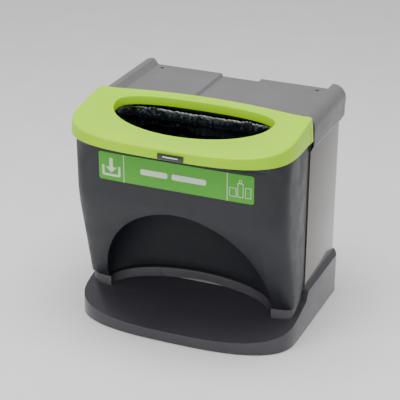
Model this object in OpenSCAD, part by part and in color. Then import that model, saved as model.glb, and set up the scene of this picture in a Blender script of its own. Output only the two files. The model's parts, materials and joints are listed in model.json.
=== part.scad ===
// Stackable indoor recycling bin on its plinth.
// Frame: origin on the floor under the middle of the unit, +X right, +Y to the back, +Z up.

/* [Overall] */
// Width across the lid and the plinth
unit_w = 504; // [430:1:610]
// Depth from the lid's nose to the back of the plinth
unit_d = 458; // [390:1:550]
// Height of the flat roof panel above the floor
roof_z = 490; // [430:1:590]

/* [Plinth] */
// How far the tray's nose stands behind the lid's nose
tray_setback = 50; // [30:1:80]
// Depth of the tray's rounded front
tray_curve_d = 122; // [90:1:160]
// Height of the tray at its nose
tray_nose_h = 26; // [15:1:40]
// Slope of the tray's top
tray_angle = 14.6; // [8:0.1:18]
// Height of the deck that carries the housing
deck_z = 101; // [88:1:140]
// Height of the plinth's side rim
rim_z = 92; // [78:1:130]
// Wall of the plinth moulding
plinth_wall = 4; // [2:0.5:6]
// Height of the plinth's lower edge, where the feet stand proud
plinth_lift = 2; // [1:0.5:5]
// Radius of a rubber foot
foot_r = 13; // [8:1:20]

/* [Housing] */
// Depth of the rear housing
housing_d = 219; // [150:1:260]
// Wall of the housing
housing_wall = 4; // [2:0.5:6]
// How far the housing's sides stand inside the plinth and roof
housing_inset = 10; // [6:1:16]
// Outer radius of the housing's back corners
housing_r = 16; // [8:1:30]

/* [Roof] */
// Height of the side rails above the roof panel
rail_h = 13; // [8:1:25]
// Radius of the rounded outer shoulder
shoulder_r = 28; // [18:1:36]
// Width of the foot of each rail, from the skirt's face
rail_foot = 43; // [36:1:60]
// Depth of the skirt below the roof panel
skirt_drop = 54; // [35:1:80]
// Wall of the roof moulding
roof_wall = 3; // [2:0.5:5]
// Width of the middle channel
channel_w = 90; // [50:1:140]
// Depth of the middle channel
channel_h = 7; // [3:1:12]
// Distance of the roof screws from the back
roof_screw_in = 22; // [18:1:40]
// Spacing of the roof screws
roof_screw_gap = 378; // [200:1:390]

/* [Container] */
// How far the lid's nose stands over the body's face
lid_overhang = 68; // [50:1:90]
// How far the body's sides stand inside the lid
body_inset = 6; // [6:1:18]
// How much narrower each side of the body is at the seam
body_taper = 6.5; // [0:0.5:10]
// Wall of the front body
body_wall = 3; // [2:0.5:5]
// Backward lean of the upper face, as a ratio
top_lean = 0.04; // [0:0.01:0.08]
// Extra backward lean of the lower face, as a ratio
foot_lean = 0.31; // [0.2:0.01:0.36]
// Height at which the lower lean starts
knee_z = 322; // [260:1:340]
// Height of the body's toe above the floor
toe_z = 80; // [74:1:110]
// Width of the arched niche
niche_w = 393; // [300:1:410]
// Height of the niche above the toe
niche_h = 215; // [150:1:240]
// Depth of the niche's rounded back
niche_d = 76; // [50:1:85]
// Gap between the body's foot and the plinth's step
foot_gap = 5; // [4.5:0.5:7]
// How far the plinth's step stands inside the body's foot
step_inset = 4; // [2:0.5:6]

/* [Lid] */
// Depth of the lid's rounded front
lid_curve_d = 152; // [110:1:180]
// Slope of the lid's top
lid_angle = 7.6; // [5:0.1:10]
// Height of the lid's top at the back, above the roof panel
lid_rise = 19; // [18:1:30]
// Wall of the lid
lid_wall = 3; // [2:0.5:4]
// Height of the skirt's lower edge below the roof panel
skirt_low = 36; // [32:1:50]
// How far the back edge bulges over the roof
lid_bulge = 18; // [14:1:22]
// Width of the aperture
aperture_w = 362; // [260:1:390]
// Depth of the aperture in front of its widest line
aperture_near = 109; // [80:1:110]
// Depth of the aperture behind its widest line
aperture_far = 48; // [30:1:50]
// Depth of the wall that hangs inside the aperture
aperture_wall_h = 20; // [10:1:24]

/* [Pivots] */
// Radius of a tilt pin
tilt_pin_r = 4; // [3:0.5:5]
// Radius of a lid hinge pin
lid_pin_r = 2.5; // [2:0.5:3]
// Radial running clearance of every pin
fit = 0.05; // [0.02:0.01:0.1]
// How far the container tilts forward
tilt_stop = 16; // [8:1:16]

/* [Sack and bucket] */
// Width of the inner bucket
bucket_w = 450; // [340:1:456]
// Wall of the bucket
bucket_wall = 2.5; // [2:0.5:4]
// Height of the bucket's rim at the back
bucket_back_z = 380; // [300:1:385]
// Wire radius of the sack hoop
hoop_r = 3; // [2:0.5:4]
// Thickness of the sack's solid
sack_t = 1.5; // [1:0.5:3]

/* [Label] */
// Width of the label
label_w = 354; // [200:1:370]
// Height of the label
label_h = 64; // [40:1:80]
// Height of the label's middle above the floor
label_z = 387; // [366:1:395]
// Thickness of the label
label_t = 0.6; // [0.4:0.1:1.5]
// Width of the end panels of the label
label_end_w = 59; // [40:1:70]

/* [Hidden] */

slate = "#3b3e46";
grey = "#918f91";
plinth_colour = "#565355";
lime = "#c8e34c";
leaf = "#6db43f";
steel = "silver";
black = "#18191b";

half_w = unit_w / 2;
back_y = unit_d / 2;
badge_t = 1.5;
mark_t = 0.25;
nose_y = -unit_d / 2 + badge_t + mark_t;
seam_y = back_y - housing_d;
slip = 0.3;
big = 2000;
eps = 0.01;

// Plinth
tray_nose_y = nose_y + tray_setback;
tray_n = 2.8;
plinth_back_r = 20;
corner_steps = 8;
rim_ramp_d = 14;
shoulder_in = 11;
tray_slope = tan(tray_angle);

// Front body
body_half = half_w - body_inset;
body_front_y = nose_y + lid_overhang;
body_top_z = roof_z - 27;
collar_low_z = roof_z - 65;
collar_high_z = roof_z - 31;
knee_soft = 40;
side_flat = 38;
side_lean = 0.15;
n_top = 5.7;
n_foot = 8;
collar_n = 2.6;
collar_gap = 20;
ring_low_z = toe_z - 20;
body_rings = 10;
arc_steps = 32;

function clamp01(t) = min(1, max(0, t));
function ramp(t) = t < 0 ? 0 : t < knee_soft ? t * t / (2 * knee_soft) : t - knee_soft / 2;
function body_nose(z) = body_front_y + top_lean * (body_top_z - z) + foot_lean * ramp(knee_z - z);
function body_side(z) = seam_y - side_flat - side_lean * (z - toe_z);
function body_n(z) = n_foot + (n_top - n_foot) * clamp01((z - toe_z) / (body_top_z - toe_z));

// Half of a superellipse, from +x to -x over the nose, with straight sides back to end_y,
// where each side stands taper further in
function d_curve(a, b, cy, n, end_y, taper = 0) = concat(
    [[a - taper, end_y]],
    [for (i = [0:arc_steps]) let (t = 180 * i / arc_steps)
        [a * sign(cos(t)) * pow(abs(cos(t)), 2 / n), cy - b * pow(abs(sin(t)), 2 / n)]],
    [[taper - a, end_y]]);

// Face of the front body at x and z
function face_y(x, z) = let (n = body_n(z), b = body_side(z) - body_nose(z))
    body_side(z) - b * pow(1 - pow(abs(x) / body_half, n), 1 / n);

// Half width of the body's flat side at y and z
function body_x(y, z) = let (s = body_side(z))
    body_half - body_taper * max(0, y - s) / (seam_y - s);

niche_half = niche_w / 2;
toe_y = face_y(niche_half, toe_z);
function foot_plane(y) = toe_z + tray_slope * (y - toe_y);
function step_plane(y) = foot_plane(y) - foot_gap;
function tray_plane(y) = tray_nose_h + tray_slope * (y - tray_nose_y);

// Tilt axis
lug_t = 5;
cheek_t = 3;
side_gap = 0.5;
fork_x = niche_half + body_wall + side_gap;
boss_r = tilt_pin_r + 2.5;
tilt_y = toe_y + boss_r + 7;
tilt_z = toe_z + boss_r + 5.5;
lug_x = fork_x + cheek_t + side_gap;
cheek2_x = lug_x + lug_t + side_gap;
pin_end = 1;
bush_r = boss_r - 1.5;

// Lid
lid_cy = nose_y + lid_curve_d;
lid_n = 3.2;
lid_slope = tan(lid_angle);
ear_y = seam_y - 5;
lid_back_y = ear_y + lid_bulge;
lid_back_z = roof_z + lid_rise;
function lid_top(y) = lid_back_z + lid_slope * (y - lid_back_y);
aperture_cy = nose_y + 171;
skirt_z = roof_z - skirt_low;
roof_clear = 6;
lip_in = 7;
lip_out = 12;
lip_depth = 1.2;
ear_slot_w = 1.5;
ear_half = half_w - 1;
bulge_half = half_w - 47;

// Lid hinge
hinge_y = seam_y + 5.5;
hinge_z = roof_z + 10;
knuckle_r = lid_pin_r + 2;
hinge_x = 80;
knuckle_w = 20;
bracket_w = 11;
hinge_gap = 0.5;
notch_half = knuckle_w / 2 + bracket_w + 4;
rail_y0 = seam_y - 14;
rail_y1 = seam_y - 1;
rail_z0 = roof_z - 13;
rail_z1 = roof_z + 3;

// Bucket
bucket_half = bucket_w / 2;
bucket_back_r = 20;
bucket_front_y = body_front_y + 13;
bucket_back_y = back_y - 25;
bucket_floor_z = deck_z + 6;
bucket_front_z = roof_z - 29;
niche_back_y = toe_y + niche_d;
niche_roof_z = toe_z + niche_h;
bucket_shelf_z = niche_roof_z + 12;
bucket_step_y = niche_back_y + 12;
rim_slope = (bucket_back_z - bucket_front_z) / (bucket_back_y - bucket_front_y);
function rim_plane(y) = bucket_front_z + rim_slope * (y - bucket_front_y);

// ---------- helpers ----------

module mirrored() {
    children();
    mirror([1, 0, 0]) children();
}

// Everything under a plane that passes through [0, y, z] and rises to the back
module under(y, z, angle) {
    translate([0, y, z]) rotate([angle, 0, 0]) translate([-big / 2, -big / 2, -big])
        cube([big, big, big]);
}

// Side view [y, z] drawn out from x0 to x1
module across(x0, x1) {
    translate([x0, 0, 0]) rotate([90, 0, 90]) linear_extrude(x1 - x0) children();
}

// Front view [x, z] drawn out from y0 to y1
module along(y0, y1) {
    translate([0, y1, 0]) rotate([90, 0, 0]) linear_extrude(y1 - y0) children();
}

module x_rod(x0, x1, y, z, r) {
    translate([x0, y, z]) rotate([0, 90, 0]) cylinder(r = r, h = x1 - x0, $fn = 48);
}

module rounded_rect(w, d, r) {
    square([w - 2 * r, d], center = true);
    square([w, d - 2 * r], center = true);
    for (sx = [-1, 1], sy = [-1, 1])
        translate([sx * (w / 2 - r), sy * (d / 2 - r)]) circle(r = r, $fn = 48);
}

// Plate with a straight front at y0 and rounded back corners at y1
module back_plate(half, y0, y1, r) {
    translate([-half, y0]) square([2 * half, y1 - r - y0]);
    translate([-half + r, y0]) square([2 * (half - r), y1 - y0]);
    for (sx = [-1, 1]) translate([sx * (half - r), y1 - r]) circle(r = r, $fn = 64);
}

// ---------- plinth ----------

module plinth_outline(inset) {
    r = plinth_back_r - inset;
    corner = [for (i = [0:corner_steps]) 90 * i / corner_steps];
    polygon(concat(
        d_curve(half_w - inset, tray_curve_d - inset, tray_nose_y + tray_curve_d, tray_n,
            back_y - plinth_back_r),
        [for (a = corner) [-half_w + plinth_back_r - r * cos(a), back_y - plinth_back_r + r * sin(a)]],
        [for (a = corner) [half_w - plinth_back_r + r * sin(a), back_y - plinth_back_r + r * cos(a)]]));
}

module plinth_side(drop) {
    ramp_y = seam_y - rim_ramp_d;
    polygon([[tray_nose_y - 5, -1], [tray_nose_y - 5, tray_plane(tray_nose_y - 5) - drop],
        [ramp_y, tray_plane(ramp_y) - drop], [seam_y, rim_z - drop],
        [back_y + 5, rim_z - drop], [back_y + 5, -1]]);
}

module deck_section(drop) {
    polygon([[-half_w, -1], [-half_w, rim_z - drop], [-half_w + shoulder_in, deck_z - drop],
        [half_w - shoulder_in, deck_z - drop], [half_w, rim_z - drop], [half_w, -1]]);
}

// Plan of the raised step under the body's foot
module step_outline(inset) {
    side_y = body_side(toe_z);
    difference() {
        polygon(d_curve(body_half - step_inset - inset,
            side_y - body_nose(toe_z) - step_inset - inset, side_y, n_foot, seam_y + 5,
            body_taper));
        niche_plan(-body_wall + inset);
    }
}

// Plan of the niche, larger by grow
module niche_plan(grow) {
    translate([0, toe_y]) scale([niche_half + grow, niche_d + grow]) circle(r = 1, $fn = 96);
    translate([-niche_half - grow, toe_y - big]) square([2 * (niche_half + grow), big]);
}

module plinth_form(inset, drop, low_z) {
    intersection() {
        translate([0, 0, low_z]) linear_extrude(big) plinth_outline(inset);
        across(-half_w, half_w) plinth_side(drop);
    }
    intersection() {
        translate([0, 0, low_z]) linear_extrude(big) plinth_outline(inset);
        along(seam_y - 1 + inset, back_y) deck_section(drop);
    }
    intersection() {
        translate([0, 0, low_z]) linear_extrude(big) step_outline(inset);
        under(toe_y, toe_z - foot_gap - drop, tray_angle);
        translate([-half_w, nose_y, 0]) cube([unit_w, seam_y - nose_y, deck_z - drop]);
    }
}

housing_half = half_w - housing_inset;
screw_r = 2;
housing_boss_r = 7;
housing_boss_x = housing_half - housing_wall - 5;
housing_boss_ys = [seam_y + 20, back_y - 22];
plate_t = 3;
plate_z = plinth_lift + 2;
plate_boss_xs = [-half_w + 50, 0, half_w - 50];
plate_boss_ys = [tray_nose_y + 70, back_y - 60];

module plate_boss_places() {
    for (x = plate_boss_xs, y = plate_boss_ys) translate([x, y, 0]) children();
}

module housing_boss_places() {
    for (sx = [-1, 1], y = housing_boss_ys) translate([sx * housing_boss_x, y, 0]) children();
}

module plinth() {
    color(plinth_colour) difference() {
        union() {
            difference() {
                plinth_form(0, 0, plinth_lift);
                plinth_form(plinth_wall, plinth_wall, -1);
            }
            intersection() {
                plate_boss_places() translate([0, 0, plate_z + plate_t])
                    cylinder(r = 6, h = big, $fn = 32);
                plinth_form(plinth_wall / 2, plinth_wall / 2, -1);
            }
        }
        plate_boss_places() translate([0, 0, 0]) cylinder(r = screw_r, h = 22, $fn = 32);
        housing_boss_places() translate([0, 0, deck_z - 20])
            cylinder(r = screw_r + 0.6, h = 40, $fn = 32);
    }
}

module plinth_floor() {
    color(black) difference() {
        translate([0, 0, plate_z]) linear_extrude(plate_t) plinth_outline(plinth_wall + slip);
        plate_boss_places() translate([0, 0, -1]) cylinder(r = screw_r + 0.5, h = 20, $fn = 32);
    }
}

module plinth_floor_screws() {
    color(steel) plate_boss_places() {
        translate([0, 0, plate_z - 1.5]) cylinder(r = 4, h = 1.5, $fn = 32);
        translate([0, 0, plate_z - 1]) cylinder(r = screw_r, h = 14, $fn = 32);
    }
}

foot_xs = half_w - 80;
foot_ys = [tray_nose_y + 50, back_y - 40];

module rubber_feet() {
    color(black) for (sx = [-1, 1], y = foot_ys) translate([sx * foot_xs, y, 0])
        cylinder(r1 = foot_r - 1, r2 = foot_r, h = plate_z, $fn = 48);
}

// ---------- housing ----------

housing_top_z = roof_z - roof_wall;
roof_screw_x = roof_screw_gap / 2;
roof_screw_y = back_y - roof_screw_in;
roof_boss_r = 7;
roof_boss_h = 26;

module housing_plan(inset, open) {
    back_plate(housing_half - inset, seam_y + 2 - open, back_y - 4 - inset, housing_r - inset);
}

module housing() {
    color(grey) difference() {
        union() {
            translate([0, 0, deck_z]) linear_extrude(housing_top_z - deck_z) difference() {
                housing_plan(0, 0);
                housing_plan(housing_wall, 10);
            }
            intersection() {
                housing_boss_places() translate([0, 0, deck_z])
                    cylinder(r = housing_boss_r, h = 34, $fn = 48);
                translate([0, 0, deck_z]) linear_extrude(big) housing_plan(housing_wall / 2, 0);
            }
            intersection() {
                for (sx = [-1, 1])
                    translate([sx * roof_screw_x, roof_screw_y, housing_top_z - roof_boss_h]) {
                        cylinder(r = roof_boss_r, h = roof_boss_h, $fn = 48);
                        translate([-2, 0, 0]) cube([4, roof_screw_in, roof_boss_h]);
                    }
                translate([0, 0, deck_z]) linear_extrude(big) housing_plan(housing_wall / 2, 0);
            }
        }
        translate([-channel_w / 2 - channel_h - 1, 0, roof_z - channel_h - roof_wall - 1])
            cube([channel_w + 2 * channel_h + 2, back_y, big]);
        housing_boss_places() translate([0, 0, deck_z - 1]) cylinder(r = screw_r, h = 22, $fn = 32);
        for (sx = [-1, 1]) translate([sx * roof_screw_x, roof_screw_y, housing_top_z - 18])
            cylinder(r = screw_r, h = 30, $fn = 32);
    }
}

module housing_screws() {
    color(steel) housing_boss_places() {
        translate([0, 0, deck_z - plinth_wall - 2]) cylinder(r = 4.5, h = 2, $fn = 32);
        translate([0, 0, deck_z - plinth_wall - 1]) cylinder(r = screw_r, h = 22, $fn = 32);
    }
}

// ---------- roof ----------

roof_half = half_w - 2;
roof_back_y = back_y - 1;
roof_front_y = seam_y + 1.5;
shoulder_x = roof_half - shoulder_r;
shoulder_z = roof_z + rail_h - shoulder_r;
lap_z = roof_z - skirt_drop;
lap_h = 14;
roof_lip_h = 27;
shoulder_steps = 12;

// Right half of the roof's outline, shrunk by i, from the channel out and down to low_z
function roof_edge(i, low_z) = concat(
    [[channel_w / 2 + 0.4 * i, roof_z - channel_h - i],
    [channel_w / 2 + channel_h / 2 + 0.4 * i, roof_z - i],
    [roof_half - rail_foot + 0.4 * i, roof_z - i],
    [shoulder_x - 4 + 0.4 * i, roof_z + rail_h - i]],
    [for (k = [0:shoulder_steps]) let (a = 90 * k / shoulder_steps, r = shoulder_r - i)
        [shoulder_x + r * sin(a), shoulder_z + r * cos(a)]],
    [[roof_half - i, lap_z], [housing_half + slip, lap_z - lap_h],
    [housing_half + slip, low_z]]);

module roof_section(i, low_z) {
    right = roof_edge(i, low_z);
    polygon(concat(right, [for (k = [len(right) - 1:-1:0]) [-right[k][0], right[k][1]]]));
}

module roof_cap() {
    color(grey) difference() {
        intersection() {
            along(roof_front_y, roof_back_y) roof_section(0, lap_z - lap_h);
            translate([-half_w, nose_y, lap_z - lap_h]) cube([unit_w, unit_d, big]);
        }
        along(roof_front_y - 1, roof_back_y - roof_wall) roof_section(roof_wall, lap_z - lap_h - 5);
        translate([-half_w, roof_back_y - roof_wall - 1, 0])
            cube([unit_w, 20, roof_z - roof_lip_h]);
        for (sx = [-1, 1]) translate([sx * roof_screw_x, roof_screw_y, roof_z - 10])
            cylinder(r = screw_r + 0.5, h = 20, $fn = 32);
        for (sx = [-1, 1]) translate([sx * roof_screw_x, roof_screw_y, roof_z - 1.5])
            cylinder(r = 4.3, h = 5, $fn = 32);
    }
}

module roof_screws() {
    color(black) for (sx = [-1, 1]) translate([sx * roof_screw_x, roof_screw_y, 0]) {
        translate([0, 0, roof_z - 1.5]) cylinder(r = 4, h = 1.2, $fn = 32);
        translate([0, 0, roof_z - 18]) cylinder(r = screw_r, h = 17, $fn = 32);
    }
}

module rest_pads() {
    color(black) for (sx = [-1, 1])
        translate([sx * (bucket_half - 45), bucket_back_y - 35, deck_z])
            cylinder(r = 12, h = bucket_floor_z - deck_z - slip, $fn = 48);
}

// ---------- tilt pivot and stops ----------

stop_lug_r = 5;
stop_lug_y = bucket_back_y - bucket_back_r - 7;
stop_lug_z = bucket_back_z - 80;
stop_lug_dy = stop_lug_y - tilt_y;
stop_lug_dz = stop_lug_z - tilt_z;
lug_at = [stop_lug_dy * cos(tilt_stop) - stop_lug_dz * sin(tilt_stop),
    stop_lug_dy * sin(tilt_stop) + stop_lug_dz * cos(tilt_stop)];
lug_run = norm(lug_at);
peg_y = tilt_y + lug_at[0] - lug_at[1] / lug_run * (2 * stop_lug_r + slip);
peg_z = tilt_z + lug_at[1] + lug_at[0] / lug_run * (2 * stop_lug_r + slip);
stop_reach = 9;

module tilt_stop_pegs() {
    color(steel) mirrored()
        x_rod(housing_half - housing_wall - stop_reach, housing_half - housing_wall,
            peg_y, peg_z, stop_lug_r);
}

flange_t = 3;
flange_len = 42;

module pivot_lug() {
    difference() {
        union() {
            x_rod(lug_x, lug_x + lug_t, tilt_y, tilt_z, boss_r);
            difference() {
                translate([lug_x, tilt_y - boss_r + 3, tilt_z - 30])
                    cube([lug_t, 2 * boss_r - 3, 30]);
                under(toe_y, toe_z - foot_gap, tray_angle);
            }
            difference() {
                intersection() {
                    translate([lug_x - 3, tilt_y, 0]) cube([lug_t + 6, flange_len, big]);
                    under(toe_y, toe_z - foot_gap + flange_t, tray_angle);
                }
                under(toe_y, toe_z - foot_gap, tray_angle);
            }
        }
        x_rod(lug_x - 5, lug_x + lug_t + 5, tilt_y, tilt_z, tilt_pin_r);
    }
}

module pivot_lug_left() { color(steel) mirror([1, 0, 0]) pivot_lug(); }
module pivot_lug_right() { color(steel) pivot_lug(); }

module tilt_pin() {
    x_rod(fork_x - pin_end, cheek2_x + cheek_t + pin_end, tilt_y, tilt_z, tilt_pin_r);
}

module tilt_pin_left() { color(steel) mirror([1, 0, 0]) tilt_pin(); }
module tilt_pin_right() { color(steel) tilt_pin(); }

// ---------- front body ----------

function body_ring(z, g, back) = [for (p = d_curve(body_half + g,
    body_side(z) - body_nose(z) + g, body_side(z), body_n(z), back, body_taper)) [p[0], p[1], z]];
function collar_ring(z, slope, g, back) = [for (p = d_curve(body_half + g,
    lid_cy - nose_y - collar_gap + g, lid_cy, collar_n, back, body_taper))
    [p[0], p[1], z + slope * (p[1] - nose_y)]];
rim_z_nose = lid_top(nose_y) - lid_wall / cos(lid_angle) - slip;

module loft(rings) {
    m = len(rings[0]);
    last = len(rings) - 1;
    polyhedron(points = [for (r = rings) each r], faces = concat(
        [[for (i = [m - 1:-1:0]) i]],
        [[for (i = [0:m - 1]) last * m + i]],
        [for (k = [0:last - 1], i = [0:m - 1]) let (j = (i + 1) % m)
            [k * m + j, (k + 1) * m + j, (k + 1) * m + i]],
        [for (k = [0:last - 1], i = [0:m - 1]) let (j = (i + 1) % m)
            [k * m + j, (k + 1) * m + i, k * m + i]]));
}

// The body's outer form, grown by g, its back at seam_y + reach, one slab between each two rings
module body_form(g, reach) {
    back = seam_y + reach;
    low = ring_low_z - reach;
    rings = concat(
        [for (i = [0:body_rings]) body_ring(low + (collar_low_z - low) * i / body_rings, g, back)],
        [collar_ring(collar_high_z, 0, g, back)],
        [collar_ring(rim_z_nose + reach, lid_slope, g, back)]);
    for (k = [0:len(rings) - 2]) hull() loft([rings[k], rings[k + 1]]);
}

module niche_form(g) {
    along(nose_y, toe_y) {
        translate([0, toe_z]) scale([niche_half + g, niche_h + g]) circle(r = 1, $fn = 72);
        translate([-niche_half - g, 0]) square([2 * (niche_half + g), toe_z]);
    }
    translate([0, toe_y, toe_z]) scale([niche_half + g, niche_d + g, niche_h + g])
        sphere(r = 1, $fn = 56);
}

module front_body() {
    color(slate) difference() {
        union() {
            difference() {
                body_form(0, 0);
                body_form(-body_wall, 5);
            }
            intersection() {
                body_form(0, 0);
                niche_form(body_wall);
            }
        }
        niche_form(0);
        under(toe_y, toe_z, tray_angle);
        translate([-half_w, ear_y - lid_wall - 3, roof_z + roof_clear - 1])
            cube([unit_w, 50, 50]);
    }
}

module top_rail() {
    half = body_half - body_taper - body_wall;
    color(slate) translate([-half, rail_y0, rail_z0])
        cube([2 * half, rail_y1 - rail_y0, rail_z1 - rail_z0]);
}

web_y0 = tilt_y + 14;
web_y1 = tilt_y + 55;
web_z0 = toe_z + 19;
web_z1 = web_z0 + 26;
web_x1 = body_x(web_y1, web_z0) - body_wall - 3 * slip;

module leg_fork() {
    difference() {
        union() {
            for (x = [fork_x, cheek2_x]) {
                x_rod(x, x + cheek_t, tilt_y, tilt_z, boss_r);
                translate([x, tilt_y, tilt_z + 1.5]) cube([cheek_t, web_y0 + 4 - tilt_y, 15]);
            }
            translate([fork_x, web_y0, web_z0])
                cube([web_x1 - fork_x, web_y1 - web_y0, web_z1 - web_z0]);
        }
        x_rod(fork_x - 5, cheek2_x + cheek_t + 5, tilt_y, tilt_z, bush_r);
    }
}

module leg_fork_left() { color(black) mirror([1, 0, 0]) leg_fork(); }
module leg_fork_right() { color(black) leg_fork(); }

module tilt_bushes() {
    for (x = [fork_x, cheek2_x]) difference() {
        x_rod(x, x + cheek_t, tilt_y, tilt_z, bush_r);
        x_rod(x - 1, x + cheek_t + 1, tilt_y, tilt_z, tilt_pin_r + fit);
    }
}

module tilt_bushes_left() { color("white") mirror([1, 0, 0]) tilt_bushes(); }
module tilt_bushes_right() { color("white") tilt_bushes(); }

// ---------- bucket, hoop and sack ----------

shelf_y = toe_y + 23;
step_z = toe_z + 130;
slant = atan2(bucket_shelf_z - step_z, bucket_step_y - shelf_y);
bucket_cy = seam_y - 30;

// Side view of the bucket, shrunk by i, its rim raised by lift
module bucket_side(i, lift) {
    polygon([[bucket_front_y + i, rim_plane(bucket_front_y) + lift],
        [bucket_front_y + i, bucket_shelf_z + i],
        [shelf_y + i * tan(slant / 2), bucket_shelf_z + i],
        [bucket_step_y + i, step_z + i * tan(45 - slant / 2)],
        [bucket_step_y + i, bucket_floor_z + i], [bucket_back_y - i, bucket_floor_z + i],
        [bucket_back_y - i, rim_plane(bucket_back_y) + lift]]);
}

module bucket_plan(i) {
    polygon(d_curve(bucket_half - i, bucket_cy - bucket_front_y - i, bucket_cy, n_top,
        bucket_cy + 1));
    back_plate(bucket_half - i, bucket_cy, bucket_back_y - i, bucket_back_r - i);
}

module bucket_form(i, lift) {
    intersection() {
        across(-bucket_half + i, bucket_half - i) bucket_side(i, lift);
        linear_extrude(big) bucket_plan(i);
    }
}

block_y0 = seam_y - 40;
block_y1 = seam_y - 8;
block_z0 = rim_plane(block_y0) - 32;
block_h = 18;
block_screw_y = (block_y0 + block_y1) / 2;
block_screw_z = block_z0 + block_h / 2;
block_head_x = bucket_half - bucket_wall + 0.9;

module bucket() {
    color(black) {
        difference() {
            bucket_form(0, 0);
            bucket_form(bucket_wall, 20);
            mirrored() x_rod(bucket_half - 10, bucket_half + 5, block_screw_y, block_screw_z,
                screw_r + 0.5);
            mirrored() x_rod(bucket_half - 10, block_head_x, block_screw_y, block_screw_z, 4.3);
        }
        mirrored() x_rod(bucket_half - 1, bucket_half + stop_reach, stop_lug_y, stop_lug_z,
            stop_lug_r);
    }
}

module bucket_blocks() {
    color(black) mirrored() difference() {
        translate([0, 0, block_z0]) linear_extrude(block_h)
            polygon([[bucket_half, block_y0], [bucket_half, block_y1],
                [body_x(block_y1, block_z0) - body_wall, block_y1],
                [body_x(block_y0, block_z0) - body_wall, block_y0]]);
        x_rod(bucket_half - 1, bucket_half + 9, block_screw_y, block_screw_z, screw_r);
    }
}

module bucket_screws() {
    color(steel) mirrored() {
        x_rod(block_head_x - 0.8, block_head_x, block_screw_y, block_screw_z, 4);
        x_rod(block_head_x - 0.4, bucket_half + 9, block_screw_y, block_screw_z, screw_r);
    }
}

hoop_half = 205;
hoop_corner = 50;
hoop_y0 = bucket_front_y + bucket_wall + 10;
hoop_y1 = rail_y0 - 10;
hoop_drop = 34;
hoop_steps = 8;
hoop_sides = 16;
hoop_len = (hoop_y1 - hoop_y0) / cos(lid_angle);
hoop_z0 = lid_top(hoop_y0) - hoop_drop;

// Places children in the hoop's plane, with the origin at the middle of its front bar
module on_hoop() {
    translate([0, hoop_y0, hoop_z0]) rotate([lid_angle, 0, 0]) children();
}

// Centre line of the hoop, counter-clockwise from its back right corner
hoop_path = [for (corner = [[1, 1], [-1, 1], [-1, -1], [1, -1]], i = [0:hoop_steps])
    let (a = 90 * i / hoop_steps + (corner[0] * corner[1] > 0 ? 0 : 90) + (corner[1] > 0 ? 0 : 180))
    [corner[0] * (hoop_half - hoop_corner) + hoop_corner * cos(a),
    hoop_len / 2 + corner[1] * (hoop_len / 2 - hoop_corner) + hoop_corner * sin(a), a]];

module sack_hoop() {
    n = len(hoop_path);
    m = hoop_sides;
    color(steel) on_hoop() polyhedron(
        points = [for (p = hoop_path, k = [0:m - 1]) let (c = hoop_r * cos(360 * k / m))
            [p[0] + c * cos(p[2]), p[1] + c * sin(p[2]), hoop_r * sin(360 * k / m)]],
        faces = [for (i = [0:n - 1], k = [0:m - 1], half = [0, 1])
            let (j = (i + 1) % n, l = (k + 1) % m)
            half == 0 ? [i * m + k, i * m + l, j * m + l] : [i * m + k, j * m + l, j * m + k]]);
}

clip_w = 16;
clip_x = 110;

module hoop_clips() {
    color(black) difference() {
        for (sx = [-1, 1]) {
            translate([sx * clip_x - clip_w / 2, bucket_front_y + bucket_wall + 1, hoop_z0 - 6])
                cube([clip_w, 13, 11]);
            translate([sx * clip_x - clip_w / 2, hoop_y1 - 4,
                lid_top(hoop_y1) - hoop_drop - 5]) cube([clip_w, rail_y0 - hoop_y1 + 4, 14]);
        }
        on_hoop() for (y = [0, hoop_len]) translate([-big / 2, y, 0]) rotate([0, 90, 0])
            cylinder(r = hoop_r + fit, h = big, $fn = 48);
    }
}

sack_in = bucket_wall + slip;
sack_low_lift = -14;
neck_half = hoop_half - hoop_r - 4;

// Side view of the part of the sack that rises from the bucket to the hoop
module neck_side(i, lift) {
    y0 = hoop_y0 + hoop_r + 1 + i;
    y1 = hoop_y1 - hoop_r - 1 - i;
    back = bucket_back_y - sack_in - i;
    polygon([[y0, 320], [y0, hoop_z0 - 4 + lift],
        [y1, lid_top(hoop_y1) - hoop_drop - 4 + lift],
        [back, rim_plane(back) + sack_low_lift - i], [back, 320]]);
}

module sack_form(i, lift) {
    intersection() {
        bucket_form(sack_in + i, sack_low_lift - i / 2);
        translate([-half_w, nose_y, 0]) cube([unit_w, unit_d, big]);
    }
    intersection() {
        across(-neck_half + i, neck_half - i) neck_side(i, lift);
        linear_extrude(big) bucket_plan(sack_in + i);
    }
}

module sack() {
    color("#101113") difference() {
        sack_form(0, 0);
        sack_form(sack_t, 8);
    }
}

// ---------- label ----------

label_rings = 3;
skin_gap = 0.05;

module body_skin(g) {
    z0 = label_z - label_h;
    z1 = label_z + label_h;
    loft([for (i = [0:label_rings]) body_ring(z0 + (z1 - z0) * i / label_rings, g, seam_y)]);
}

// A flat shape in x and z laid on the body's face between two offsets
module decal(g0, g1) {
    difference() {
        intersection() {
            body_skin(g1);
            along(nose_y, body_front_y + 60) translate([0, label_z]) children();
        }
        body_skin(g0);
    }
}

module label() {
    color(leaf) decal(skin_gap, skin_gap + label_t) rounded_rect(label_w, label_h, 5);
}

module marks() {
    decal(skin_gap + label_t, skin_gap + label_t + mark_t) children();
}

end_x = label_w / 2 - label_end_w;
symbol_x = -label_w / 2 + label_end_w / 2;
icon_x = label_w / 2 - label_end_w / 2;

module label_dividers() {
    color("white") marks() for (sx = [-1, 1]) translate([sx * end_x - 0.7, -label_h / 2])
        square([1.4, label_h]);
}

// An arrow that drops into a tray
module label_symbol() {
    color("white") marks() translate([symbol_x, 0]) {
        translate([-4, -2]) square([8, 22]);
        polygon([[-13, -1], [13, -1], [0, -14]]);
        for (sx = [-1, 1]) translate([sx * 19 - 2.5, -20]) square([5, 22]);
        translate([-19, -22]) square([38, 5]);
    }
}

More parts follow.
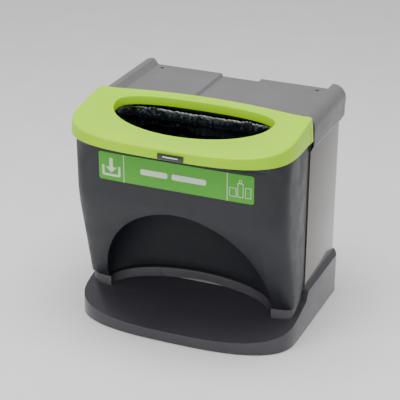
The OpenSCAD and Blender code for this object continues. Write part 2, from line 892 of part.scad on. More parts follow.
module label_bars() {
    color("white") marks() for (bar = [[-48, 62], [32, 78]])
        translate([bar[0], 0]) rounded_rect(bar[1], 13, 4);
}

module frame_2d(w, h, t) {
    difference() {
        square([w, h], center = true);
        square([w - 2 * t, h - 2 * t], center = true);
    }
}

// Outlines of a bottle, a can and a box
module label_icons() {
    color("white") marks() translate([icon_x, -4]) {
        translate([0, 0]) frame_2d(13, 32, 1.2);
        translate([0, 20]) frame_2d(6, 8, 1.2);
        translate([-17, -6]) frame_2d(16, 20, 1.2);
        translate([17, -4]) frame_2d(13, 24, 1.2);
    }
}

// ---------- lid ----------

// Plan of the lid, shrunk by i
function lid_edge(i) = concat(
    d_curve(half_w - i, lid_curve_d - i, lid_cy, lid_n, lid_cy + 1),
    [for (k = [0:arc_steps]) let (x = -(ear_half - i) * cos(180 * k / arc_steps))
        [x, ear_y - i + lid_bulge * max(0, 1 - pow(x / bulge_half, 2))]]);

function aperture_edge(g) = concat(
    [for (k = [0:arc_steps]) let (t = 180 * k / arc_steps)
        [(aperture_w / 2 + g) * cos(t), aperture_cy - (aperture_near + g) * sin(t)]],
    [for (k = [1:arc_steps - 1]) let (t = 180 - 180 * k / arc_steps)
        [(aperture_w / 2 + g) * sign(cos(t)) * pow(abs(cos(t)), 2 / 2.6),
        aperture_cy + (aperture_far + g) * pow(abs(sin(t)), 2 / 2.6)]]);

module under_lid(drop) {
    under(lid_back_y, lid_back_z - drop, lid_angle);
}

module lid() {
    color(lime) difference() {
        union() {
            difference() {
                intersection() {
                    translate([0, 0, skirt_z]) linear_extrude(big) polygon(lid_edge(0));
                    under_lid(0);
                }
                intersection() {
                    linear_extrude(big) polygon(lid_edge(lid_wall));
                    under_lid(lid_wall / cos(lid_angle));
                }
            }
            difference() {
                intersection() {
                    linear_extrude(big) polygon(aperture_edge(lid_wall));
                    under_lid(0);
                }
                under_lid(aperture_wall_h);
            }
        }
        linear_extrude(big) polygon(aperture_edge(0));
        intersection() {
            linear_extrude(big) difference() {
                polygon(aperture_edge(lip_out));
                polygon(aperture_edge(lip_in));
            }
            difference() {
                under_lid(-lip_depth);
                under_lid(lip_depth);
            }
        }
        translate([-ear_half + lid_wall, ear_y - lid_wall - 1, 0])
            cube([2 * (ear_half - lid_wall), big, roof_z + roof_clear]);
        intersection() {
            mirrored() translate([hinge_x - notch_half, ear_y, 0]) cube([2 * notch_half, big, big]);
            under_lid(lid_wall / cos(lid_angle));
        }
        for (sx = [-1, 1]) translate([sx * half_w - 12, seam_y - 30, skirt_z - 1])
            cube([24, ear_slot_w, 32]);
    }
}

module hinge_bracket(x) {
    difference() {
        for (sx = [-1, 1]) {
            near = x + sx * (knuckle_w / 2 + hinge_gap);
            far = x + sx * (knuckle_w / 2 + hinge_gap + bracket_w);
            lo = min(near, far);
            x_rod(lo, lo + bracket_w, hinge_y, hinge_z, knuckle_r);
            translate([lo, rail_y0 + 2, rail_z1]) cube([bracket_w, hinge_y - rail_y0 - 2, 6]);
        }
        x_rod(x - 60, x + 60, hinge_y, hinge_z, lid_pin_r);
    }
}

module hinge_pin(x) {
    reach = knuckle_w / 2 + hinge_gap + bracket_w + 1;
    x_rod(x - reach, x + reach, hinge_y, hinge_z, lid_pin_r);
}

module hinge_knuckle(x) {
    difference() {
        union() {
            x_rod(x - knuckle_w / 2, x + knuckle_w / 2, hinge_y, hinge_z, knuckle_r);
            intersection() {
                translate([x - knuckle_w / 2, hinge_y - knuckle_r, hinge_z])
                    cube([knuckle_w, 2 * knuckle_r, 30]);
                under_lid(lid_wall / cos(lid_angle));
            }
        }
        x_rod(x - 60, x + 60, hinge_y, hinge_z, lid_pin_r + fit);
    }
}

module hinge_bracket_left() { color(steel) hinge_bracket(-hinge_x); }
module hinge_bracket_right() { color(steel) hinge_bracket(hinge_x); }
module hinge_pin_left() { color(steel) hinge_pin(-hinge_x); }
module hinge_pin_right() { color(steel) hinge_pin(hinge_x); }
module hinge_knuckle_left() { color(black) hinge_knuckle(-hinge_x); }
module hinge_knuckle_right() { color(black) hinge_knuckle(hinge_x); }

badge_w = 58;
badge_h = 13;
badge_x = 20;

module badge_at(y0, y1) {
    along(y0, y1) translate([badge_x, skirt_z + badge_h / 2 + 1]) children();
}

module badge() {
    color(black) difference() {
        badge_at(nose_y - badge_t, nose_y + 4) rounded_rect(badge_w, badge_h, 1.5);
        linear_extrude(big) polygon(lid_edge(0));
    }
}

module badge_bar() {
    color("white") badge_at(nose_y - badge_t - mark_t, nose_y - badge_t)
        rounded_rect(badge_w - 24, 2.4, 1);
}

plinth();
plinth_floor();
plinth_floor_screws();
rubber_feet();
housing();
housing_screws();
roof_cap();
roof_screws();
rest_pads();
tilt_stop_pegs();
pivot_lug_left();
pivot_lug_right();
tilt_pin_left();
tilt_pin_right();
front_body();
top_rail();
leg_fork_left();
leg_fork_right();
tilt_bushes_left();
tilt_bushes_right();
bucket();
bucket_blocks();
bucket_screws();
sack_hoop();
hoop_clips();
sack();
label();
label_dividers();
label_symbol();
label_bars();
label_icons();
hinge_bracket_left();
hinge_bracket_right();
hinge_pin_left();
hinge_pin_right();
lid();
hinge_knuckle_left();
hinge_knuckle_right();
badge();
badge_bar();
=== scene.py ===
"""Indoor recycling bin on its plinth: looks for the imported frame, laid out as an add-on."""

import json
import math
import random
from types import SimpleNamespace

import bmesh
import bpy
import numpy as np
from bpy.props import FloatProperty, FloatVectorProperty, PointerProperty
from mathutils import Matrix, Vector, noise

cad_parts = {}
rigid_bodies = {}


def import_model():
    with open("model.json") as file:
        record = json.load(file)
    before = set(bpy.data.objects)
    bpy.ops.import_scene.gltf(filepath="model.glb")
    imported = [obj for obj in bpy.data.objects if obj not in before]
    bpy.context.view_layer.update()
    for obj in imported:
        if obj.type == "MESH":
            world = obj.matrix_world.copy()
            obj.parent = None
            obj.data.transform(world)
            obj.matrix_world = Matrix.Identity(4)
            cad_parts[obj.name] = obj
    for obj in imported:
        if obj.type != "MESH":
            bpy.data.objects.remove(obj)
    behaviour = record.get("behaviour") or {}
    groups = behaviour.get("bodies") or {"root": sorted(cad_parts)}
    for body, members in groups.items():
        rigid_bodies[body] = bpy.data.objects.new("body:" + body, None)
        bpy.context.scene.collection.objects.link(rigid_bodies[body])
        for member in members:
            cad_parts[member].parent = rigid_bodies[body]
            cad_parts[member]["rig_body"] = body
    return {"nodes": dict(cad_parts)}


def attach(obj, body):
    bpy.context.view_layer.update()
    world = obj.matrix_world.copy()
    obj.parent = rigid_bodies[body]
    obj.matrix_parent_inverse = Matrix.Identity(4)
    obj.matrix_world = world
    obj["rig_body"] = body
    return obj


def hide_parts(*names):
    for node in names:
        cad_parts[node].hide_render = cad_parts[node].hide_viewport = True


bl_info = {
    "name": "Recycling bin station",
    "version": (1, 0, 0),
    "blender": (4, 5, 0),
    "location": "View3D > Sidebar > Recycling bin",
    "description": "Builds the visible surfaces of an indoor recycling bin over its packed frame",
    "category": "Object",
}

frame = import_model()
MM = 0.001


# ---------- colours and materials ----------

def srgb(hex_colour):
    """Linear RGBA of an sRGB hex colour such as '#3b3e46'."""
    digits = hex_colour.lstrip("#")
    linear = []
    for i in (0, 2, 4):
        c = int(digits[i:i + 2], 16) / 255
        linear.append(c / 12.92 if c <= 0.04045 else ((c + 0.055) / 1.055) ** 2.4)
    return (*linear, 1.0)


def add(tree, kind, inputs=None, **settings):
    """A new shader node with its settings, and its inputs set or linked."""
    made = tree.nodes.new("ShaderNode" + kind)
    for key, value in settings.items():
        setattr(made, key, value)
    for key, value in (inputs or {}).items():
        if isinstance(value, bpy.types.NodeSocket):
            tree.links.new(value, made.inputs[key])
        else:
            made.inputs[key].default_value = value
    return made


CLOUD_MM = 140.0
SMEAR_MM = 45.0
SCRATCH_MM = 60.0
GRAIN_HEIGHT = 0.0002
WRINKLE_HEIGHT = 0.004


def noise_map(tree, place, pattern_mm, **inputs):
    """Noise whose pattern is about pattern_mm wide, as a socket from 0 to 1."""
    values = {"Vector": place, "Scale": 1000 / pattern_mm, **inputs}
    return add(tree, "TexNoise", values).outputs["Fac"]


def surface(name, base, second, rough, grain_mm=0.6, grain=0.03, smudge=0.06, coat=0.0,
            metallic=0.0, specular=0.5, wrinkle_mm=0.0, wrinkle=0.0, scratch=0.0):
    """A moulded, plated or printed surface: a slow drift between two colours, roughness with
    smudges and fine scratches, a grain, and wrinkles where they are asked for."""
    made = bpy.data.materials.new(name)
    made.use_nodes = True
    tree = made.node_tree
    tree.nodes.clear()
    place = add(tree, "TexCoord").outputs["Object"]

    drift = add(tree, "ValToRGB", {"Fac": noise_map(tree, place, CLOUD_MM, Detail=3.0)})
    for element, position, shown in zip(drift.color_ramp.elements, (0.35, 0.75),
                                        (base, second)):
        element.position = position
        element.color = shown

    smears = noise_map(tree, place, SMEAR_MM, Detail=6.0, Roughness=0.6, Distortion=0.6)
    level = add(tree, "MapRange", {
        "Value": smears, "From Min": 0.3, "From Max": 0.7,
        "To Min": max(0.02, rough - smudge),
        "To Max": min(1.0, rough + smudge)}).outputs["Result"]
    if scratch:
        drawn_out = add(tree, "Mapping", {"Vector": place, "Rotation": (0.0, 0.0, 0.5),
                                          "Scale": (1.0, 22.0, 1.0)}).outputs["Vector"]
        lines = add(tree, "MapRange", {
            "Value": noise_map(tree, drawn_out, SCRATCH_MM, Detail=8.0), "From Min": 0.62,
            "From Max": 0.72, "To Min": 0.0, "To Max": scratch}).outputs["Result"]
        level = add(tree, "Math", {0: level, 1: lines}, operation="ADD").outputs["Value"]

    fine = noise_map(tree, place, grain_mm, Detail=2.0)
    normal = add(tree, "Bump", {"Height": fine, "Strength": grain,
                                "Distance": GRAIN_HEIGHT}).outputs["Normal"]
    if wrinkle:
        folds = noise_map(tree, place, wrinkle_mm, Detail=3.0, Distortion=1.4)
        normal = add(tree, "Bump", {"Height": folds, "Strength": wrinkle, "Normal": normal,
                                    "Distance": WRINKLE_HEIGHT}).outputs["Normal"]

    shader = add(tree, "BsdfPrincipled", {
        "Base Color": drift.outputs["Color"], "Roughness": level, "Metallic": metallic,
        "Specular IOR Level": specular, "Coat Weight": coat, "Coat Roughness": 0.08,
        "Normal": normal})
    add(tree, "OutputMaterial", {"Surface": shader.outputs["BSDF"]})
    return made


def the(name):
    """The material of that name, which the materials operator has made."""
    if name not in bpy.data.materials:
        raise RuntimeError(f"material {name} isn't made yet; run the materials operator first")
    return bpy.data.materials[name]


# ---------- mesh helpers ----------

def mesh_object(name, points, faces, material, smooth_deg=35):
    """A new object from points in millimetres."""
    mesh = bpy.data.meshes.new(name)
    mesh.from_pydata([tuple(c * MM for c in p) for p in points], [], faces)
    mesh.validate()
    shape = bmesh.new()
    shape.from_mesh(mesh)
    bmesh.ops.remove_doubles(shape, verts=shape.verts, dist=1e-6)
    bmesh.ops.recalc_face_normals(shape, faces=shape.faces)
    shape.to_mesh(mesh)
    shape.free()
    made = bpy.data.objects.new(name, mesh)
    bpy.context.scene.collection.objects.link(made)
    mesh.materials.append(the(material))
    shade(made, smooth_deg)
    return made


def shade(made, degrees):
    """Smooth shading, with edges sharper than the given angle kept sharp."""
    mesh = made.data
    for face in mesh.polygons:
        face.use_smooth = True
    shape = bmesh.new()
    shape.from_mesh(mesh)
    limit = math.radians(degrees)
    for edge in shape.edges:
        if len(edge.link_faces) == 2:
            edge.smooth = edge.calc_face_angle(0.0) < limit
    shape.to_mesh(mesh)
    shape.free()


def apply_modifiers(made):
    """Turns the object's modifiers into its mesh."""
    bpy.context.view_layer.update()
    depsgraph = bpy.context.evaluated_depsgraph_get()
    final = bpy.data.meshes.new_from_object(made.evaluated_get(depsgraph))
    made.modifiers.clear()
    made.data = final


def closed_loft(name, rings, material, smooth_deg, wrap=True):
    """Rings of the same length joined in order; with wrap, the last joins the first."""
    count, per = len(rings), len(rings[0])
    points = [p for ring in rings for p in ring]
    faces = []
    for k in range(count if wrap else count - 1):
        m = (k + 1) % count
        for i in range(per):
            j = (i + 1) % per
            faces.append((k * per + i, k * per + j, m * per + j, m * per + i))
    return mesh_object(name, points, faces, material, smooth_deg)


def carried(node, material):
    """A CAD node that is shown as it is, with its material."""
    shown = frame["nodes"][node]
    shown.data.materials.clear()
    shown.data.materials.append(the(material))
    for face in shown.data.polygons:
        face.use_smooth = False
    return shown


def softened(node, name, material, width_mm, segments=3, angle=35):
    """A copy of a CAD node with moulded radii on its edges, which stands for the node."""
    source = frame["nodes"][node]
    mesh = source.data.copy()
    mesh.name = name
    made = bpy.data.objects.new(name, mesh)
    bpy.context.scene.collection.objects.link(made)
    shape = bmesh.new()
    shape.from_mesh(mesh)
    bmesh.ops.remove_doubles(shape, verts=shape.verts, dist=2e-6)
    bmesh.ops.dissolve_limit(shape, angle_limit=math.radians(1.0), verts=shape.verts,
                             edges=shape.edges)
    shape.to_mesh(mesh)
    shape.free()
    mesh.materials.clear()
    mesh.materials.append(the(material))
    rounding = made.modifiers.new("radii", "BEVEL")
    rounding.width = width_mm * MM
    rounding.segments = segments
    rounding.limit_method = "ANGLE"
    rounding.angle_limit = math.radians(angle)
    rounding.use_clamp_overlap = True
    rounding.miter_outer = "MITER_ARC"
    apply_modifiers(made)
    shade(made, 30)
    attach(made, source["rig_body"])
    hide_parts(node)


def offset_ring(ring, distance):
    """A plan ring moved outwards by distance along its own normals."""
    pts = np.array(ring, float)[:, :2]
    ahead, behind = np.roll(pts, -1, 0), np.roll(pts, 1, 0)
    e0 = pts - behind
    e1 = ahead - pts
    e0 /= np.maximum(np.linalg.norm(e0, axis=1, keepdims=True), 1e-9)
    e1 /= np.maximum(np.linalg.norm(e1, axis=1, keepdims=True), 1e-9)
    n0 = np.stack([e0[:, 1], -e0[:, 0]], 1)
    n1 = np.stack([e1[:, 1], -e1[:, 0]], 1)
    n = n0 + n1
    n /= np.maximum((n * n0).sum(1, keepdims=True), 0.2)
    area = 0.5 * (pts[:, 0] * ahead[:, 1] - pts[:, 1] * ahead[:, 0]).sum()
    reach = np.ones(len(pts)) * distance * (1 if area > 0 else -1)
    return pts + n * reach[:, None]


def super_arc(a, b, cy, n, steps, far=False):
    """Half of a superellipse in plan, from +x over the near side to -x, or back over the far."""
    out = []
    for k in range(steps + 1):
        t = math.pi * k / steps
        c, s = math.cos(t), math.sin(t)
        x = a * math.copysign(abs(c) ** (2 / n), c)
        y = b * abs(s) ** (2 / n)
        out.append((-x, cy + y) if far else (x, cy - y))
    return out


def smooth_step(low, high, value):
    """0 below low, 1 above high, smooth between them."""
    t = np.clip((np.asarray(value, float) - low) / (high - low), 0, 1)
    return t * t * (3 - 2 * t)


def rounded_ring(ring, passes):
    """A closed ring with its corners eased."""
    pts = np.array(ring, float)
    for _ in range(passes):
        pts = 0.5 * pts + 0.25 * (np.roll(pts, 1, 0) + np.roll(pts, -1, 0))
    return pts


def resample(points, count, closed=False):
    """A line sampled at count even distances, without its last point."""
    pts = np.array(points, float)
    if closed:
        pts = np.vstack([pts, pts[:1]])
    run = np.concatenate([[0], np.cumsum(np.linalg.norm(np.diff(pts, axis=0), axis=1))])
    at = np.arange(count) / count * run[-1]
    return np.stack([np.interp(at, run, pts[:, k]) for k in range(pts.shape[1])], 1)


# ---------- settings ----------

def length(name, text, value, low=0.0):
    """A length, given in millimetres."""
    return FloatProperty(name=name, description=text, default=value * MM, min=low * MM,
                         subtype="DISTANCE", unit="LENGTH")


def colour(name, text, value):
    """A colour, given as an sRGB hex code."""
    return FloatVectorProperty(name=name, description=text, default=srgb(value), size=4,
                               min=0.0, max=1.0, subtype="COLOR")


class BinSizes(bpy.types.PropertyGroup):
    """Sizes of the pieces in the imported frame."""
    half_w: length("Half width", "Half of the width across the lid", 252.0)
    nose_y: length("Lid nose", "Where the lid's front face stands", -227.25, -400)
    seam_y: length("Seam", "Where the container meets the housing", 10.0, -100)
    roof_z: length("Roof height", "Height of the flat roof panel", 490.0)
    lid_curve_d: length("Lid curve", "Depth of the lid's rounded front", 152.0)
    lid_power: FloatProperty(name="Lid fullness", description="Power of the lid's plan curve",
                             default=3.2, min=2.0)
    lid_angle: FloatProperty(name="Lid slope", description="Slope of the lid's top",
                             default=math.radians(7.6), subtype="ANGLE", unit="ROTATION")
    lid_rise: length("Lid rise", "Lid's back edge above the roof panel", 19.0)
    lid_bulge: length("Lid bulge", "How far the back edge reaches over the roof", 18.0)
    lid_wall: length("Lid wall", "Wall of the lid", 3.0)
    skirt_low: length("Skirt depth", "Skirt's lower edge below the roof panel", 36.0)
    crease: length("Lid crease", "Radius between the lid's top and skirt", 4.5)
    draft_front: length("Front draft", "How far the top crease stands inside the skirt", 2.0)
    draft_side: length("Side draft", "How much more at the sides", 0.8)
    ear_step: length("Ear step", "How far the ear stands proud of the skirt", 1.1)
    aperture_y: length("Aperture line", "Widest line of the aperture", -56.25, -200)
    aperture_half: length("Aperture half width", "Half the width of the aperture", 181.0)
    aperture_near: length("Aperture near", "Aperture in front of its widest line", 109.0)
    aperture_far: length("Aperture far", "Aperture behind its widest line", 48.0)
    aperture_drop: length("Aperture wall", "Depth of the wall inside the aperture", 20.0)
    groove_in: length("Groove start", "From the aperture's edge to the groove", 7.0)
    groove_out: length("Groove end", "From the aperture's edge to the far side", 12.0)
    groove_deep: length("Groove depth", "Depth of the groove", 1.2)
    hoop_half: length("Hoop half width", "Half the width of the sack hoop", 205.0)
    hoop_corner: length("Hoop corner", "Corner radius of the sack hoop", 50.0)
    hoop_drop: length("Hoop depth", "Hoop below the lid's top", 34.0)
    hoop_r: length("Hoop wire", "Radius of the hoop's wire", 3.0)
    sack_fold: length("Sack fold", "How far the sack is folded down outside the hoop", 42.0)
    wrinkle: length("Wrinkles", "Depth of the sack's wrinkles", 5.0)
    sag: length("Sag", "How far the sack's back sags in below the hoop", 62.0)
    puff: length("Puff", "How far the folded film stands over the hoop", 5.5)
    edge: length("Moulded edge", "Radius of the ordinary moulded edges", 1.5)


class BinColours(bpy.types.PropertyGroup):
    """Base colours of the materials."""
    lime: colour("Lid", "Lime polypropylene", "#b2ee00")
    slate: colour("Body", "Slate polypropylene", "#14171f")
    grey: colour("Roof", "Mid grey ABS", "#6b696b")
    panel: colour("Side panels", "Grey gloss ABS", "#48423c")
    base: colour("Plinth", "Dark grey ABS", "#37363d")
    green: colour("Label", "Printed vinyl", "#4db024")
    black: colour("Black parts", "Black polypropylene", "#17181a")
    ink: colour("Print", "White print", "#e6efe2")
    zinc: colour("Steel", "Zinc plated steel", "#b9bcbf")
    oxide: colour("Roof screws", "Black oxide", "#1b1b1d")
    rubber: colour("Rubber", "Black rubber", "#161617")
    acetal: colour("Bushes", "White acetal", "#dcdcd8")
    badge: colour("Badge", "Gloss black", "#0d0e10")
    film: colour("Sack", "Black polythene", "#10141c")
    floor: colour("Floor", "Pale studio floor", "#ffffff")


PURE_NUMBERS = ("lid_power", "lid_angle")


def sizes():
    """The settings with their lengths in millimetres; the slope stays in radians."""
    group = bpy.context.scene.recycling_bin_sizes
    values = {key: getattr(group, key) for key in BinSizes.__annotations__}
    return SimpleNamespace(**{key: value if key in PURE_NUMBERS else round(value / MM, 4)
                              for key, value in values.items()})


# ---------- pieces ----------

# Colour setting, name, second colour, roughness and the rest of each surface.
MATERIALS = (
    ("lime", "lime_polypropylene_moulded", "#a8e600", 0.3,
     dict(grain_mm=0.8, grain=0.04, smudge=0.05, specular=0.2)),
    ("slate", "slate_polypropylene_moulded", "#181b23", 0.42,
     dict(grain_mm=0.9, grain=0.06, smudge=0.08)),
    ("grey", "mid_grey_abs_moulded", "#727072", 0.38,
     dict(grain_mm=0.9, grain=0.05, smudge=0.07)),
    ("panel", "grey_abs_gloss_panel", "#4f4943", 0.14,
     dict(grain_mm=2.5, grain=0.02, smudge=0.04, coat=0.6)),
    ("base", "dark_grey_abs_satin", "#3c3b42", 0.3,
     dict(grain_mm=1.0, grain=0.02, smudge=0.025, coat=0.3)),
    ("black", "black_polypropylene_moulded", "#1c1d20", 0.5,
     dict(grain_mm=0.7, grain=0.08, smudge=0.08)),
    ("green", "green_vinyl_printed", "#52b528", 0.4,
     dict(grain_mm=1.6, grain=0.02, smudge=0.04)),
    ("ink", "white_ink_printed", "#dde9d8", 0.45,
     dict(grain_mm=0.8, grain=0.02, smudge=0.04)),
    ("zinc", "zinc_plated_steel", "#a9abad", 0.32,
     dict(grain_mm=0.4, grain=0.06, smudge=0.1, metallic=1.0, scratch=0.12)),
    ("oxide", "black_oxide_screw", "#242426", 0.35,
     dict(grain_mm=0.5, grain=0.05, smudge=0.1, metallic=0.8)),
    ("rubber", "black_rubber", "#1e1e1f", 0.72,
     dict(grain_mm=0.8, grain=0.14, smudge=0.08)),
    ("acetal", "white_acetal_machined", "#d2d2cd", 0.34,
     dict(grain_mm=0.5, grain=0.04, smudge=0.06)),
    ("badge", "black_gloss_badge", "#131417", 0.12,
     dict(grain_mm=1.0, grain=0.01, smudge=0.03, coat=0.8)),
    ("film", "black_polythene_film", "#1c2533", 0.16,
     dict(grain_mm=1.5, grain=0.1, smudge=0.06, specular=1.0, coat=1.0, wrinkle_mm=18.0,
          wrinkle=1.0)),
    ("floor", "studio_floor_vinyl", "#fafafa", 0.55,
     dict(grain_mm=2.0, grain=0.02, smudge=0.05)),
)


def make_materials():
    """Every material of the bin."""
    group = bpy.context.scene.recycling_bin_colours
    for key, name, second, rough, rest in MATERIALS:
        surface(name, tuple(getattr(group, key)), srgb(second), rough, **rest)


# Millimetres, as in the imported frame.
EAR_AHEAD = 5          # the ears' back edge ahead of the seam
EAR_FRONT = 29         # the ears' front edge ahead of the seam
EAR_IN = 1             # the ears' back corners inside the half width
SLOT = (2, 2.2)        # width and depth of the slot ahead of each ear
BULGE_IN = 47          # ends of the back edge's bulge inside the half width
REAR_IN = 7            # ends of the low back edge, from the seam and the half width
REAR_OVER_ROOF = 6
KNUCKLE_X, KNUCKLE_REACH, KNUCKLE_GAP = 80, 25, 1.5
SIDEWAYS = 0.85        # share of a normal above which it counts as facing sideways
LID_POINTS, PLAN_EASING = 760, 46
LID_OVERHANG = 68      # the lid's nose ahead of the body
BUCKET_AHEAD, BUCKET_WALL, HOOP_IN = 13, 2.5, 10
RAIL_TO_HOOP = 24      # the hoop's back bar ahead of the seam


def lid_z(y):
    """Height of the lid's top plane at y."""
    s = sizes()
    back_y = s.seam_y - EAR_AHEAD + s.lid_bulge
    return s.roof_z + s.lid_rise + math.tan(s.lid_angle) * (np.asarray(y) - back_y)


def lid_plans(count):
    """The lid's outer plan and its aperture's, with count points each, in step."""
    s = sizes()
    cy = s.nose_y + s.lid_curve_d
    ear_y = s.seam_y - EAR_AHEAD
    ear_half = s.half_w - EAR_IN
    front = super_arc(s.half_w, s.lid_curve_d, cy, s.lid_power, 400)
    back = [(-s.half_w, cy), (-ear_half, ear_y)]
    steps = 160
    for k in range(1, steps):
        x = -ear_half + 2 * ear_half * k / steps
        bulge = max(0.0, 1 - (x / (s.half_w - BULGE_IN)) ** 2)
        back.append((x, ear_y + s.lid_bulge * bulge))
    back += [(ear_half, ear_y), (s.half_w, cy)]
    outer = np.vstack([resample(front, count // 2), resample(back, count // 2)])
    near = super_arc(s.aperture_half, s.aperture_near, s.aperture_y, 2.0, 300)
    far = super_arc(s.aperture_half, s.aperture_far, s.aperture_y, 2.6, 300, far=True)
    hole = np.vstack([resample(near, count // 2), resample(far, count // 2)])
    return rounded_ring(outer, PLAN_EASING), hole


def make_lid():
    """The lid: one closed skin over its top, skirt, aperture wall and underside."""
    s = sizes()
    outer, hole = lid_plans(LID_POINTS)
    ahead = offset_ring(outer, 1.0) - outer
    side = np.abs(ahead[:, 0])
    inset = s.draft_front + s.draft_side * side * smooth_step(-190, -70, outer[:, 1])
    x, y = outer[:, 0], outer[:, 1]
    rear = (y > s.seam_y - REAR_IN) & (np.abs(x) < s.half_w - REAR_IN)
    notch = rear & (np.abs(np.abs(x) - KNUCKLE_X) < KNUCKLE_REACH)
    skirt = np.where(rear, s.roof_z + REAR_OVER_ROOF, s.roof_z - s.skirt_low)
    skirt = np.where(notch, lid_z(y) - s.lid_wall - KNUCKLE_GAP, skirt)
    sideways, ear_front = side > SIDEWAYS, s.seam_y - EAR_FRONT
    slot = sideways & (y < ear_front) & (y > ear_front - SLOT[0])
    proud = np.where(slot, -SLOT[1], 0.0) + s.ear_step * sideways * (y >= ear_front)

    def at(plan, offset, drop):
        """A ring a set distance under the top plane."""
        p = offset_ring(plan, offset)
        return np.column_stack([p, lid_z(p[:, 1]) - drop])

    def on_skirt(inner, share, lift=0.0):
        """A ring on the skirt, from its top at share 0 to its lower edge at 1."""
        top = lid_z(y) - s.crease
        z = top + (np.minimum(skirt + lift, top) - top) * share
        step = proud * smooth_step(0.15, 0.3, share)
        lean = inset * (1 - share)
        p = offset_ring(outer, -lean + step - inner)
        return np.column_stack([p, z])

    rings = [at(hole, 0.6, s.aperture_drop), at(hole, 0, s.aperture_drop - 0.6),
             at(hole, 0, 1.6), at(hole, 0.5, 0.5), at(hole, 1.6, 0)]
    gi, go, gd = s.groove_in, s.groove_out, s.groove_deep
    rings += [at(hole, gi - 0.5, 0), at(hole, gi, 0.25), at(hole, gi + 0.5, gd),
              at(hole, (gi + go) / 2, gd * 1.15), at(hole, go - 0.5, gd), at(hole, go, 0.25),
              at(hole, go + 0.5, 0)]
    r, steps = s.crease, 6
    for k in range(steps + 1):
        a = math.pi / 2 * k / steps
        rings.append(at(outer, -inset - r * (1 - math.sin(a)), r * (1 - math.cos(a))))
    rings += [on_skirt(0, t) for t in (0.05, 0.12, 0.3, 0.6, 0.93)]
    rings += [on_skirt(0.1, 1.0, 0.4), on_skirt(0.6, 1.0), on_skirt(s.lid_wall - 0.6, 1.0),
              on_skirt(s.lid_wall, 0.95), on_skirt(s.lid_wall, 0.3), on_skirt(s.lid_wall, 0.05)]
    rings += [at(outer, -inset - s.lid_wall - 2, s.lid_wall),
              at(hole, s.lid_wall + 2, s.lid_wall), at(hole, s.lid_wall, s.lid_wall + 2),
              at(hole, s.lid_wall, s.aperture_drop - 0.6),
              at(hole, s.lid_wall - 0.6, s.aperture_drop)]
    made = closed_loft("lid_moulding", rings, "lime_polypropylene_moulded", 40)
    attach(made, "lid_assembly")
    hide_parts("lid")


def hoop_front():
    """The y of the hoop's front bar."""
    return sizes().nose_y + LID_OVERHANG + BUCKET_AHEAD + BUCKET_WALL + HOOP_IN


def hoop_plane(u, v, h):
    """A point in the hoop's plane, u across, v back from its front bar, h above it."""
    s = sizes()
    a = s.lid_angle
    y0 = hoop_front()
    z0 = float(lid_z(y0)) - s.hoop_drop
    return np.column_stack([u, y0 + v * math.cos(a) - h * math.sin(a),
                            z0 + v * math.sin(a) + h * math.cos(a)])


SACK_POINTS, SACK_SEED, FOLD_WAVES = 540, 7, 26
BUCKET_HALF, HOOP_BAR_HALF = 218, 201       # half widths the sack has in the bucket and hoop
BUCKET_BACK, STEP_Y = 197, 34               # back of the bucket, and of its step at the floor
SHELF_Z, FLOOR_Z = 312, 111                 # top of the bucket's slant, and the sack's floor
WIDE_FROM, WIDE_BY = 455, 345               # heights between which the sack widens


